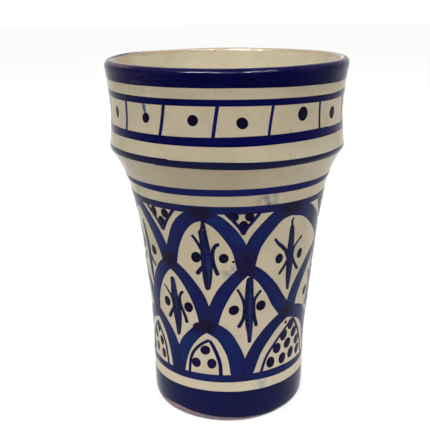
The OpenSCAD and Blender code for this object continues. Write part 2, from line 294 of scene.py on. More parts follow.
def cream(name, base, smudges_and_shade, bands, gloss):
    """Cream glaze with a mottle and pinholes. A smudge, or a patch of painted shade or painted light, is an
    angle, a height, a size, a strength and a colour. A band is the height where it starts, the height where
    it is full, a strength and a colour; some bands paint shade or light by height."""
    made, tree, surface, where = finish_of(name, glaze_roughness, gloss)
    cloud = noise_of(tree, where, scale=75, detail=4)
    fine = noise_of(tree, where, scale=650, detail=3)
    pale = [c * pale_share for c in base[:3]] + [1]
    dull = [c * share for c, share in zip(base, dull_shares)] + [1]
    tone = blend_of(tree, share_of(tree, cloud, 0.3, 0.7), dull, pale)
    flat = wire(tree, "VectorMath", {0: where, 1: flat_lines}, operation="MULTIPLY").outputs["Vector"]
    lines = noise_of(tree, flat, scale=1, detail=3)
    tone = blend_of(tree, share_of(tree, lines, 0.5, 0.75, most=0.25), tone, dull)
    level = wire(tree, "SeparateXYZ", {0: where}).outputs["Z"]
    # Bands by height, some of them painted shade or painted light.
    for start, full, strength, colour in bands:
        tone = blend_of(tree, share_of(tree, level, start * MM, full * MM, most=strength), tone, colour)
    speck = noise_of(tree, where, scale=1700, detail=2)
    tone = blend_of(tree, share_of(tree, speck, 0.5, 0.7, most=0.3), tone, dull)
    tone = blend_of(tree, share_of(tree, fine, 0.62, 0.74, most=0.22), tone, speck_brown)
    holes = wire(tree, "TexVoronoi", {"Vector": where, "Scale": 150}).outputs["Distance"]
    rare = noise_of(tree, where, scale=41, detail=0)
    hole = share_of(tree, holes, 0.09, 0.04)
    some = share_of(tree, rare, 0.56, 0.6)
    both = math_of(tree, "MULTIPLY", hole, some)
    tone = blend_of(tree, math_of(tree, "MULTIPLY", both, hole_dark), tone, hole_brown)
    rubbed = noise_of(tree, where, scale=420, detail=4)
    # Smudges, and patches of painted shade and painted light, each fading out from a spot on the wall.
    for angle, height, size, strength, colour in smudges_and_shade:
        spot = on_wall(np.array([angle]), np.array([height]), 0)[0]
        far = wire(tree, "VectorMath", {0: where, 1: spot}, operation="DISTANCE").outputs["Value"]
        share = share_of(tree, far, size * MM, stain_core * size * MM, most=strength)
        if size < broad_stain:
            share = math_of(tree, "MULTIPLY", share, share_of(tree, rubbed, 0.35, 0.65))
        tone = blend_of(tree, share, tone, colour)
    tree.links.new(tone, surface.inputs["Base Color"])
    relief(tree, surface, noise_of(tree, where, scale=190, detail=2), strength=0.2, depth=0.25)
    return made


under_coat = [(r - sink, z) for r, z in clay_out if z > foot_z + coat_edge]
outer_outline = [tuple(p) for p in wall] + [(crest_r, crest_z - crest_t)] + under_coat[::-1]
outer_outline += [(foot_r - foot_coat_t, foot_z), (foot_r, foot_z)]
outer_glaze = turned("outer_glaze_coat", outer_outline)
thrown(outer_glaze.data)
smudge_blue = tint(112, 116, 128)
warm_brown = tint(120, 84, 60)
faint_blue = tint(120, 130, 165)
# Colour of painted shade at the sides of the inner wall.
side_shade_brown = tint(150, 128, 104)
# Colour of painted shade on the outer glaze.
shaded_cream = tint(160, 148, 126)
# A paler cream; outside it paints light on the flare at the right and above the foot.
pale_cream = tint(206, 196, 172)
thin_brown = tint(156, 139, 116)
# Colour of painted light low on the wall.
light_low_cream = tint(199, 184, 166)
# The wiped glaze edge over the clay, set darker to also paint the shade where the foot meets the floor.
foot_pink = tint(126, 106, 118)
thin_crest = (118.5, 119.5, 0.75, thin_brown)
# Blue and brown smudges, with painted shade on the front of the flare and high on the collar at the right,
# and painted light on the flare at the right.
outer_smudges_and_shade = [(21.3, 79.4, 4.4, 1.3, smudge_blue), (1.2, 55.6, 3.2, 1.0, smudge_blue),
                 (23.5, 13.6, 3.2, 0.8, smudge_blue), (-34, 111.8, 0.9, 1.6, warm_brown),
                 (-5, 87, 22, 0.42, shaded_cream), (52, 87, 13, 0.4, pale_cream),
                 (29, 100.9, 1.2, 0.6, faint_blue), (33, 112.6, 11, 0.3, shaded_cream),
                 (-40, 112.4, 2.6, 0.22, smudge_blue), (150, 88, 5, 0.3, smudge_blue)]
# Bands by height: painted shade at the top of the collar, painted light low on the wall and above the foot,
# the wiped edge above the foot, and thinner glaze on the crest.
outer_bands = [(111, 112.2, 0.3, shaded_cream), (62, 25, 0.5, light_low_cream), (17, 13, 0.4, pale_cream),
               (3.3, 2.4, 1, foot_pink), thin_crest]
cream_out = cream("cream_glaze_outside", tint(191, 180, 156), outer_smudges_and_shade, outer_bands, 0.1)
outer_glaze.data.materials.append(cream_out)
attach(outer_glaze, "root")
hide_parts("outer_glaze")

back_coat = [(r + sink, z) for r, z in clay_in if z > inner_line[0][1]]
inner_outline = [tuple(p) for p in inner_wall] + [(crest_r, crest_z), (crest_r, crest_z - crest_t)]
inner_outline += back_coat[::-1] + [(0, clay_in[0][1] - sink)]
inner_glaze = turned("inner_glaze_coat", inner_outline)
throwing_low = 15
throwing_high = 110
throwing_pitch = 4.3
throwing_depth = 0.06
inner_skin = 0.1
for point in inner_glaze.data.vertices:
    radius = math.hypot(point.co.x, point.co.y) / MM
    height = point.co.z / MM
    inside = np.interp(height, inner_wall[:, 1], inner_wall[:, 0])
    if throwing_low < height < throwing_high and radius < inside + inner_skin:
        turn = math.atan2(point.co.x, -point.co.y)
        grow = 1 + throwing_depth / radius * math.sin(math.tau * height / throwing_pitch + turn)
        point.co.x *= grow
        point.co.y *= grow
thrown(inner_glaze.data)
# Brown spots on the rim, and broad painted shade on both sides of the inner wall.
rim_smudges_and_shade = [(-127, crest_h, 2.4, 0.6, warm_brown), (-152, crest_h, 1.6, 0.4, warm_brown),
               (-104, crest_h + 2.5, 13, 0.42, side_shade_brown), (106, crest_h + 2.5, 13, 0.3, side_shade_brown)]
inner_bands = [(117, 109, 0.5, pale_cream), thin_crest]
cream_in = cream("cream_glaze_inside", tint(194, 184, 160), rim_smudges_and_shade, inner_bands, 0.25)
inner_glaze.data.materials.append(cream_in)
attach(inner_glaze, "root")
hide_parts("inner_glaze")

# Rings brushed on the wheel
# Cobalt oxide laid on with a full brush while the cup turns: the dark lip, two collar rings, the
# shoulder, the neck and the wide foot band. Each stroke laps over its own start.
paint_top = 0.06
paint_sink = 0.03
paint_bottom = 0.16
paint_flank = 6
grain = 0.8
fewest_grains = 5
edge_crowd = 1.6
stroke_parts = 24
edge_waves = 3
wave_pace = (0.1, 0.75)
wave_shift = 6.3
half_brush = 0.53
edge_spread = 0.1
look_along = 0.3
far_outside = -9.0
net_reach = 12
edge_dark = 0.16
edge_fade = (0.1, 0.55)
lap_dark = 0.2
lap_fade = (-0.1, 0.8)
core_place = 0.25
core_width = 0.3
pool_corner = 4
pool_fade = (0.6, 1.25)
stroke_apart = 7.3
stack_turns = 6
stack_rise = 0.004
lap_rise = 0.008
dot_rise = 0.03
dot_spread = 1.19
dot_waver = 0.05
dot_edge_dark = 0.10
dot_fade = (0.4, 0.9)
dot_apart = 3.1
brush_crease = math.radians(50)
hand = random.Random(11)


def soft_step(low, high, value):
    """A smooth climb from 0 to 1 between two values."""
    share = np.clip((value - low) / (high - low), 0, 1)
    return share * share * (3 - 2 * share)


def stroke(points, width=None, tone=0.0, core=0.0, round_end=1.0, waver=0.04, rows=8):
    """One brush stroke: hand-set points of angle and height, or of angle, height and width."""
    points = [tuple(p) + (width,) if len(p) == 2 else tuple(p) for p in points]
    line = flowing(points, stroke_parts)
    step = np.hypot(np.radians(np.diff(line[:, 0])) * wall_at(line[1:, 1])[0], np.diff(line[:, 1]))
    run = np.concatenate(([0], np.cumsum(step)))
    waves = [(hand.uniform(*wave_pace), hand.uniform(0, wave_shift)) for _ in range(2 * edge_waves)]
    return {"line": line, "run": run, "tone": tone, "core": core, "end": round_end, "waver": waver,
            "rows": rows, "waves": waves}


def lay(mark, u, v):
    """Angle, height, width and run of points at shares u along a stroke and v across it."""
    line, run = mark["line"], mark["run"]
    tuck = 1 - np.sqrt(np.clip(1 - v * v, 0, 1))
    first = 0.5 * line[0, 2] * mark["end"]
    last = 0.5 * line[-1, 2] * mark["end"]
    at = tuck * first + u * (run[-1] - tuck * (first + last))
    angle, height, width = (np.interp(at, run, line[:, k]) for k in range(3))
    radius = wall_at(height)[0]
    ahead, behind = np.clip(at + look_along, 0, run[-1]), np.clip(at - look_along, 0, run[-1])
    along = np.radians(np.interp(ahead, run, line[:, 0]) - np.interp(behind, run, line[:, 0])) * radius
    rise = np.interp(ahead, run, line[:, 1]) - np.interp(behind, run, line[:, 1])
    size = np.hypot(along, rise)
    waves = mark["waves"]
    left = sum(np.sin(at * k + p) for k, p in waves[:edge_waves]) / edge_waves
    right = sum(np.sin(at * k + p) for k, p in waves[edge_waves:]) / edge_waves
    half = (half_brush * width + edge_spread) * (1 + mark["waver"] * np.where(v > 0, left, right))
    angle = angle - np.degrees(v * half * rise / size / radius)
    height = height + v * half * along / size
    return angle, height, half, at


def inside_of(marks, angle, height):
    """How far points lie inside the edge of a set of strokes, and inside the second of two that lap."""
    best = np.full(len(angle), far_outside)
    second = np.full(len(angle), far_outside)
    radius = wall_at(height)[0]
    for mark in marks:
        line = mark["line"][::3]
        turn = (angle[:, None] - line[None, :, 0] + 180) % 360 - 180
        near = np.abs(turn).min(axis=1) < net_reach
        if near.any():
            aside = np.radians(turn[near]) * radius[near, None]
            far = np.hypot(aside, height[near, None] - line[None, :, 1])
            depth = (line[None, :, 2] / 2 - far).max(axis=1)
            lower = np.minimum(best[near], depth)
            second[near] = np.maximum(second[near], lower)
            best[near] = np.maximum(best[near], depth)
    return best, second


def pooled(knots, angle, height):
    """How much darker the paint is for its knots, or lighter for a negative strength, as where the lip's
    washes also paint the glaze's sheen: angle, height, half width, half height, strength.
    """
    dark = np.zeros(len(angle))
    radius = wall_at(height)[0]
    for turn, middle, wide, high, strength in knots:
        off = np.radians((angle - turn + 180) % 360 - 180) * radius / wide
        far = (off ** pool_corner + ((height - middle) / high) ** pool_corner) ** (1 / pool_corner)
        pool = strength * (1 - soft_step(*pool_fade, far))
        dark = np.where(np.abs(pool) > np.abs(dark), pool, dark)
    return dark


def brushed(number, mark, net, knots, lift):
    """One stroke as a grid, with its places on the wall, the tone of its pigment and its brush's run."""
    bpy.ops.object.select_all(action="DESELECT")
    count = max(fewest_grains, round(mark["run"][-1] / grain))
    bpy.ops.mesh.primitive_grid_add(x_subdivisions=count, y_subdivisions=mark["rows"], size=2)
    piece = bpy.context.object
    flat = np.array([p.co for p in piece.data.vertices])
    across = np.sign(flat[:, 1]) * (1 - (1 - np.abs(flat[:, 1])) ** edge_crowd)
    angle, height, half, at = lay(mark, (flat[:, 0] + 1) / 2, across)
    own = half * (1 - np.abs(across))
    depth, lapped = own, np.full(len(own), far_outside)
    if len(net):
        depth, lapped = inside_of(net, angle, height)
    depth = np.maximum(depth, own)
    tone = mark["tone"] - mark["core"] * np.exp(-((across - core_place) / core_width) ** 2)
    tone = tone + edge_dark * (1 - soft_step(*edge_fade, depth)) + lap_dark * soft_step(*lap_fade, lapped)
    tone = tone + pooled(knots, angle, height)
    rise = lift + paint_top + stack_rise * (number % stack_turns) + lap_rise * flat[:, 0]
    top = rise - (rise + paint_sink) * np.abs(across) ** paint_flank
    brush = (at, across * half, np.full(len(at), number * stroke_apart))
    return piece, on_wall(angle, height, top), tone, brush


def touched(number, dot, lift):
    """One dot, copied from the dot shape, with what a stroke gives. A dot is an angle, a height, half its
    width, half its height, a tilt and a tone."""
    turn, middle, wide, high, tilt, tone = dot
    piece = dot_shape.copy()
    piece.data = dot_shape.data.copy()
    bpy.context.collection.objects.link(piece)
    flat = np.array([p.co for p in piece.data.vertices])
    out = np.hypot(flat[:, 0], flat[:, 1])
    uneven = 1 + dot_waver * np.sin(2 * np.arctan2(flat[:, 1], flat[:, 0]) + number) * out
    side = flat[:, 0] * wide * dot_spread * uneven
    up = flat[:, 1] * high * dot_spread * uneven
    c, s = math.cos(math.radians(tilt)), math.sin(math.radians(tilt))
    height = middle + s * side + c * up
    angle = turn + np.degrees((c * side - s * up) / wall_at(height)[0])
    tone = tone + dot_edge_dark * soft_step(*dot_fade, out)
    rise = lift + paint_top + dot_rise
    top = rise - (rise + paint_sink) * out ** paint_flank
    brush = (side, up, np.full(len(side), number * dot_apart))
    return piece, on_wall(angle, height, top), tone, brush


def painted(name, node, marks, dots, material, net=(), knots=(), lift=0.0):
    """Brush strokes and dots as one closed mesh on the wall, with the tone of the pigment at each point."""
    parts = [brushed(number, mark, net, knots, lift) for number, mark in enumerate(marks)]
    parts += [touched(number, dot, lift) for number, dot in enumerate(dots)]
    bpy.ops.object.select_all(action="DESELECT")
    for piece, places, tone, brush in parts:
        piece.data.vertices.foreach_set("co", places.astype(np.float32).ravel())
        pigment = piece.data.attributes.new("tone", "FLOAT", "POINT")
        pigment.data.foreach_set("value", tone.astype(np.float32))
        trail = piece.data.attributes.new("brush", "FLOAT_VECTOR", "POINT")
        trail.data.foreach_set("vector", np.stack(brush, axis=1).astype(np.float32).ravel())
        piece.select_set(True)
    whole = parts[0][0]
    bpy.context.view_layer.objects.active = whole
    if len(parts) > 1:
        bpy.ops.object.join()
    whole.name = name
    body = whole.modifiers.new("body", "SOLIDIFY")
    body.thickness = paint_bottom * MM
    body.offset = -1
    bpy.ops.object.modifier_apply(modifier="body")
    bpy.ops.object.shade_smooth_by_angle(angle=brush_crease)
    thrown(whole.data)
    whole.data.materials.clear()
    whole.data.materials.append(material)
    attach(whole, "root")
    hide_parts(node)


brush_pull = (0.09, 1.5, 1)
grain_dark = 0.35
sheen_spread = 0.3


def cobalt(name, stops, streak=0.35, blot=0.3, roughness=0.14, gloss=0.06, sheen=0.0, dents=240,
           worn=None):
    """Brushed cobalt: stops of screen colour from a thin wash to pooled pigment, streaked and blotted."""
    made, tree, surface, where = finish_of(name, roughness, gloss)
    surface.inputs["Sheen Weight"].default_value = sheen
    surface.inputs["Sheen Roughness"].default_value = sheen_spread
    tone = wire(tree, "Attribute", attribute_name="tone").outputs["Fac"]
    brush = wire(tree, "Attribute", attribute_name="brush").outputs["Vector"]
    drawn = wire(tree, "VectorMath", {0: brush, 1: brush_pull}, operation="MULTIPLY").outputs["Vector"]
    hairs = noise_of(tree, drawn, scale=1, detail=4)
    clouds = noise_of(tree, where, scale=130, detail=3)
    grains = noise_of(tree, where, scale=1500, detail=2)
    for noise, strength in ((hairs, streak), (clouds, blot), (grains, grain_dark)):
        off_middle = math_of(tree, "ADD", noise, -0.5)
        tone = math_of(tree, "MULTIPLY_ADD", off_middle, strength, tone)
    ramp = wire(tree, "ValToRGB", {"Fac": tone})
    ramp.color_ramp.elements.remove(ramp.color_ramp.elements[1])
    for number, (place, *colour) in enumerate(stops):
        stop = ramp.color_ramp.elements.new(place) if number else ramp.color_ramp.elements[0]
        stop.position = place
        stop.color = tint(*colour)
    tree.links.new(ramp.outputs["Color"], surface.inputs["Base Color"])
    ripple = noise_of(tree, where, scale=dents, detail=3)
    if worn:
        patchy = share_of(tree, ripple, 0.44, 0.56, most=worn, least=roughness)
        tree.links.new(patchy, surface.inputs["Roughness"])
    relief(tree, surface, ripple, strength=0.25, depth=0.25)
    return made


ring_points = 50
ring_step = 7.5
ring_back = (110, 180, 250)


def ring(node, start, front, tone=0.55, drift=0.0, rows=8):
    """A ring stroke that laps over its own start. Its front is angles, each with a low and a high edge."""
    low, high = (corner.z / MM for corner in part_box(node))
    front = front + [(a, low, high) for a in ring_back if a > front[-1][0]]
    turns, lows, highs = zip(*front)
    points = []
    for k in range(ring_points):
        angle = start + ring_step * k
        bottom, top = (np.interp(angle, turns, side, period=360) for side in (lows, highs))
        middle = (bottom + top) / 2 + drift * (k / (ring_points - 1) - 0.5)
        points.append((angle, middle, top - bottom))
    return stroke(points, tone=tone, round_end=0.4, waver=0.015, rows=rows)


def banded(name, node, start, edges, material, knots=(), **brush):
    """One ring painted as a piece of its own."""
    painted(name, node, [ring(node, start, edges, **brush)], [], material, knots=knots)


bpy.ops.object.select_all(action="DESELECT")
bpy.ops.mesh.primitive_circle_add(vertices=16, radius=1, fill_type="NGON")
dot_shape = bpy.context.object
bpy.ops.object.mode_set(mode="EDIT")
bpy.ops.mesh.inset(thickness=0.3, use_even_offset=False)
bpy.ops.mesh.poke()
bpy.ops.object.mode_set(mode="OBJECT")

ring_blue = cobalt("ring_cobalt", [(0.0, 46, 62, 128), (0.4, 6, 11, 76), (0.65, 2, 3, 56),
                                   (0.85, 6, 5, 42), (1.0, 6, 4, 20)], gloss=0.02, sheen=0.55)
lip_blue = cobalt("lip_cobalt", [(0.0, 112, 92, 92), (0.2, 60, 48, 76), (0.35, 26, 18, 62),
                                 (0.5, 2, 5, 60), (0.65, 1, 2, 42), (1.0, 5, 4, 18)],
                  streak=0.5, roughness=0.05, gloss=0.011, sheen=0.58, dents=900, worn=0.2)
ridge_blue = cobalt("ridge_cobalt", [(0.0, 46, 56, 110), (0.4, 14, 17, 62), (0.65, 10, 11, 48),
                                     (1.0, 8, 6, 24)], gloss=0.07, sheen=0.4)
neck_blue = cobalt("neck_cobalt", [(0.0, 46, 58, 116), (0.4, 25, 31, 90), (0.7, 21, 23, 77),
                                   (1.0, 12, 10, 30)], gloss=0.02, sheen=0.12)
foot_blue = cobalt("foot_cobalt", [(0.0, 40, 50, 105), (0.4, 12, 17, 68), (0.7, 9, 12, 52),
                                   (1.0, 12, 10, 28)], sheen=0.3)
lip_near = crest_h - 0.35
lip_right = crest_h + 0.2
lip_left = crest_h + 0.95
lip_far = crest_h - 0.6
lip_edges = [(-90, 114.3, lip_left), (-60, 114.35, lip_near), (-15, 114.5, lip_near),
             (5, 114.5, lip_near), (25, 114.2, lip_near), (45, 113.85, lip_near), (60, 113.6, lip_near),
             (90, 114.1, lip_right), (122, 114.2, lip_right), (145, 114.3, lip_far),
             (208, 114.3, lip_far), (225, 114.3, lip_right), (250, 114.3, lip_left)]
# Lighter washes on the lip: thinner paint near the crest, and painted sheen, the grey of the glaze seen at
# a slant, at both sides. One entry darkens a narrow streak instead.
lip_washes_and_sheen = [(0, crest_h - 1, 60, 1.6, -0.13), (-62, crest_h - 0.9, 16, 1.3, -0.35),
              (70, crest_h - 0.6, 12, 0.8, -0.3), (-110, crest_h - 0.2, 30, 1.0, -0.25),
              (108, crest_h, 20, 0.8, -0.25), (50, 116.3, 0.8, 2.4, 0.25), (-38, 115.2, 9, 1.1, -0.12),
              (-58, 116, 24, 4, -0.14), (72, 116, 14, 4, -0.12)]
banded("lip_band_brushed", "lip_band", 150, lip_edges, lip_blue, lip_washes_and_sheen, rows=20)
collar_top_edges = [(-55, 109.0, 111.0), (-15, 109.25, 111.15), (5, 109.25, 111.1), (25, 108.95, 110.85),
                    (55, 108.5, 110.35)]
banded("collar_top_brushed", "collar_top_ring", 130, collar_top_edges, ring_blue)
collar_base_edges = [(-55, 97.6, 100.0), (-15, 97.45, 99.95), (5, 97.3, 100.15), (25, 97.55, 100.3),
                     (45, 97.65, 100.45), (58, 97.8, 100.2)]
lap_knot = (47, 99, 0.5, 1.7, 0.4)
banded("collar_base_brushed", "collar_base_ring", 47, collar_base_edges, ring_blue, [lap_knot], drift=0.1)
ridge_edges = [(-55, 91.15, 93.1), (-25, 91.0, 93.05), (-5, 90.75, 93.0), (15, 90.4, 92.65),
               (35, 90.6, 92.55), (55, 90.6, 92.55)]
banded("shoulder_brushed", "shoulder_ring", -34, ridge_edges, ridge_blue, drift=0.2)
neck_edges = [(-55, 81.4, 83.1), (-35, 81.15, 83.35), (-5, 81.4, 83.6), (25, 81.45, 83.65),
              (45, 81.3, 83.5), (55, 81.35, 83.3)]
banded("neck_brushed", "neck_ring", 120, neck_edges, neck_blue)
foot_edges = [(-60, 2.3, 11.2), (-45, 3.0, 11.3), (-25, 2.4, 11.5), (-10, 1.9, 11.5), (8, 1.75, 11.5),
              (18, 1.6, 11.55), (26, 1.0, 11.6), (32, 0.5, 11.6), (60, 0.45, 11.5), (85, 1.0, 11.5),
              (150, 1.9, 11.7), (220, 2.3, 11.9), (280, 1.7, 11.4)]
banded("foot_band_brushed", "foot_band", 200, foot_edges, foot_blue, rows=32)

# Collar panels
# Thin upright strokes part the collar into fifteen panels, and each panel holds one dot touched on
# with the tip of a loaded brush. The panels are spaced by eye.
collar_lap = 0.5
panel_dot_z = 104.6
panel_dot_tone = 0.85
back_panels = 10
thin_divider = 0.78
low, high = (corner.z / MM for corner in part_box("panel_dividers"))
tops = [-51.7, -28.1, -3.9, 20.3, 46.1, 71.7]
slants = [1.3, 2.8, 2.2, 1.9, -0.6, 0]
widths = [1.0, 1.0, 1.0, thin_divider, thin_divider, thin_divider]


def divider(top, slant, width):
    """One upright stroke from the ring above the panels to the ring below them."""
    points = [(top, high + collar_lap), (top - slant, low - collar_lap)]
    return stroke(points, width, tone=0.55, round_end=0, rows=4)


dividers = [divider(top, slant, width) for top, slant, width in zip(tops, slants, widths)]
dot_places = [(-38.6, 104.8, 1.3, 1.48, -8), (-14.8, 105.0, 1.45, 1.62, 0), (6.6, 104.2, 1.6, 1.6, -40),
              (35.6, 105.7, 1.7, 1.98, -18), (57.3, 104.4, 1.6, 1.75, -14)]
left_dot = (-62.4, 104.75, 1.1, 1.75, 3)
back_step = (360 + tops[0] - tops[-1]) / back_panels
for k in range(back_panels):
    turn = tops[-1] + (k + 1) * back_step + hand.uniform(-1, 1)
    if k < back_panels - 1:
        slant = hand.uniform(-0.5, 2)
        dividers.append(divider(turn, slant, thin_divider))
    if 0 < k:
        middle = turn - back_step / 2 + hand.uniform(-2, 2)
        height = panel_dot_z + hand.uniform(-0.6, 0.8)
        dot_places.append((middle, height, 1.65, 1.85, hand.uniform(-20, 10)))
dot_places[-1] = left_dot
dot_places.append((tops[-1] + back_step / 2, panel_dot_z, 1.6, 1.9, -10))
fine_blue = cobalt("fine_cobalt", [(0.0, 70, 88, 150), (0.35, 22, 28, 104), (0.6, 10, 8, 70),
                                   (0.85, 10, 6, 44), (1.0, 8, 6, 24)], sheen=0.15)
dot_blue = cobalt("dot_cobalt", [(0.0, 96, 112, 150), (0.4, 26, 30, 92), (0.7, 22, 16, 58),
                                 (0.85, 12, 10, 36), (1.0, 8, 6, 24)],
                  streak=0.15, blot=0.2, gloss=0.02, sheen=0.35)
painted("panel_dividers_brushed", "panel_dividers", dividers, [], fine_blue)
drip = stroke([(-38.9, 109, 1.5), (-39.2, 107.9, 1.2), (-38.6, 106.2, 0.5)], tone=0.14, rows=4)
panel_dots = [place + (panel_dot_tone,) for place in dot_places]
painted("panel_dots_brushed", "panel_dots", [drip], panel_dots, dot_blue)

# Scale net
# Three rows of broad fish scales, each drawn with two loaded strokes that leave the crown together and
# run down onto the crowns below. Pigment pools where strokes meet, so the crowns and forks are darkest.
scale_w = 4.6
columns = 6
row_1 = [-68, -15.5, 38, 102, 166, 230]
row_2 = [-40, 12, 77, 134, 198, 260]
row_3 = [-62, -14.5, 48, 104, 166, 230]
crown_z = [75.1, 56.5, 35.7]
crown_lap = 0.3
crown_spread = 3
landing_z = [55, 35, 16.5]
landing_gap = [1, 1, 3]
leg_shape = [(0, 0), (0.22, 0.07), (0.45, 0.2), (0.68, 0.41), (0.86, 0.63), (0.96, 0.85), (1, 1)]
front_legs = {
    (0, 0, 1): [(-67, 76, 4.4), (-61, 74, 4.5), (-53.8, 70, 4.6), (-47.3, 64.8, 4.8), (-42.7, 59.5, 4.8),
                (-40.3, 55, 4.8)],
    (0, 1, -1): [(-13, 75.4, 4.4), (-21.8, 73.7, 4.5), (-29.2, 69.6, 4.75), (-34.6, 63.7, 4.7),
                 (-37.4, 58.5, 4.7), (-38.7, 55, 4.6)],
    (0, 1, 1): [(-18, 75.4, 4.3), (-10, 74, 4.3), (-3.7, 71.6, 4.6), (2.4, 67.5, 4.8), (6.9, 63.2, 4.9),
                (9.3, 58.5, 4.8), (10.8, 55, 4.6)],
    (0, 2, -1): [(41, 75.3, 4.3), (30.6, 73.9, 4.6), (22.6, 69.8, 5.0), (15.8, 64.6, 4.85),
                 (12.9, 58.5, 4.4), (11.8, 55, 4.4)],
    (0, 2, 1): [(35, 75.3, 4.3), (50, 73.5, 4.5), (61, 69.8, 4.8), (71, 65.4, 4.8), (77, 61, 4.8),
                (79, 56, 4.8)],
    (1, 0, -1): [(-38, 57.2, 4.2), (-46, 54, 4.3), (-52.9, 49.4, 4.5), (-59, 43.2, 4.7),
                 (-61.5, 36.5, 4.7)],
    (1, 0, 1): [(-41.5, 57.4, 4.2), (-32.7, 54.4, 4.1), (-26, 50.6, 4.6), (-20.2, 45.7, 5.0),
                (-16.8, 40.7, 4.9), (-15, 35.5, 4.8)],
    (1, 1, -1): [(14, 57.5, 4.2), (5.3, 53.3, 4.0), (-1.8, 48.6, 4.4), (-7.8, 42.7, 4.6),
                 (-11.4, 37.5, 4.8), (-13.2, 34.8, 4.8)],
    (1, 1, 1): [(9, 57.4, 4.2), (20, 53.5, 3.9), (28, 48.5, 4.45), (34.7, 43.2, 4.95), (41, 39, 5.0),
                (46, 36.3, 4.8)],
    (1, 2, -1): [(78, 58.5, 4.4), (69.5, 56.2, 4.4), (63, 54, 4.4), (58, 51.2, 4.5), (52.8, 47.6, 4.6),
                 (48.6, 43.4, 4.8), (45.8, 38.5, 4.8), (45, 36, 4.8)],
    (2, 0, 1): [(-63, 37.2, 4.2), (-52.9, 33.6, 4.3), (-45.4, 28.7, 4.9), (-41.3, 22.5, 5.2),
                (-39.3, 16.5, 5.2)],
    (2, 1, -1): [(-13, 36.4, 4.2), (-23.2, 32.5, 4.0), (-31.2, 27.7, 4.3), (-36, 22, 4.4),
                 (-38.8, 16.5, 4.7)],
    (2, 1, 1): [(-18, 36.4, 4.4), (-4.8, 33, 4.95), (2, 27.9, 5.1), (6, 22.5, 5.4), (7.4, 16.5, 5.4)],
    (2, 2, -1): [(46, 38.4, 4.2), (34.7, 35.3, 4.1), (25.9, 30.9, 4.5), (18.1, 25.1, 4.4),
                 (12, 17.5, 4.7)],
    (2, 2, 1): [(42, 38.4, 4.4), (52, 37, 4.7), (62, 34.6, 4.7), (71, 29.6, 4.7), (77, 23, 4.8),
                (80, 16.5, 4.8)],
}


def leg(crown, foot):
    """The run of a scale's leg from its crown to the place where it lands."""
    across = foot[0] - crown[0]
    down = foot[1] - crown[1]
    return [(crown[0] + x * across, crown[1] + y * down) for x, y in leg_shape]


def landing(row, number, side):
    """Where a leg lands: beside the crown below it, or on the ring under the lowest row."""
    if row == 1:
        below = number + 1 if side > 0 else number
        turn = row_3[below % columns] + (360 if below == columns else 0)
    else:
        turn = row_2[number] if side > 0 else row_2[number - 1] - (360 if number == 0 else 0)
    return (turn - landing_gap[row] * side, landing_z[row])


net = []
for row, crowns in enumerate((row_1, row_2, row_3)):
    for number, turn in enumerate(crowns):
        for side in (-1, 1):
            crown = (turn - crown_spread * side, crown_z[row] + crown_lap)
            points = front_legs.get((row, number, side)) or leg(crown, landing(row, number, side))
            net.append(stroke(points, scale_w, tone=0.43 + hand.uniform(-0.06, 0.06), waver=0.03))
knot_dark = 0.48
knots = [(-15.3, 75.4, 3.2, 1.9), (38.4, 75.6, 4.4, 1.9), (-39.8, 57.9, 3.4, 2.4), (-19, 35.1, 4.2, 2.4)]
knots += [(row_1[k], 75.4, 3.4, 2.0) for k in (0, 3, 4, 5)]
knots += [(row_2[k], 57.0, 3.4, 2.2) for k in (2, 3, 4, 5)]
knots += [(row_3[k], 36.2, 2.9, 2.0) for k in (0, 3, 4, 5)]
knots = [knot + (knot_dark,) for knot in knots] + [(10.8, 59, 4.3, 5, 0.24), (44.5, 38.3, 4, 2.2, 0.3)]
scale_blue = cobalt("scale_cobalt", [(0.0, 60, 80, 140), (0.22, 22, 44, 98), (0.45, 15, 25, 77),
                                     (0.65, 24, 20, 63), (0.86, 20, 17, 50), (1.0, 16, 14, 40)],
                    streak=0.24, blot=0.22)
dabs = [(-19.8, 34.9, 2.4, 1.7, 0, 0.84)]
painted("scale_net_brushed", "scale_net", net, dabs, scale_blue, net=net, knots=knots)

# Frieze rings
# One ring ties the first crowns together and one carries the lowest legs. Both are drawn on the wheel
# over the ends of the scales, which darken where they lap.
top_edges = [(-55, 75.4, 77.5), (-35, 75.5, 77.7), (-5, 75.35, 77.8), (20, 75.2, 77.65),
             (55, 75.25, 77.2)]
base_edges = [(-55, 15.05, 17.3), (-35, 14.95, 17.5), (-15, 15.05, 17.65), (15, 15.25, 17.75),
              (40, 15.1, 17.8), (60, 15.2, 17.6)]
top_ring = ring("frieze_top_ring", 80, top_edges, tone=0.48)
base_ring = ring("frieze_base_ring", 100, base_edges, tone=0.45)
frieze_lift = 0.03
painted("frieze_top_brushed", "frieze_top_ring", [top_ring], [], scale_blue, net=net + [top_ring],
        knots=knots, lift=frieze_lift)
painted("frieze_base_brushed", "frieze_base_ring", [base_ring], [], scale_blue, net=net + [base_ring],
        lift=frieze_lift)

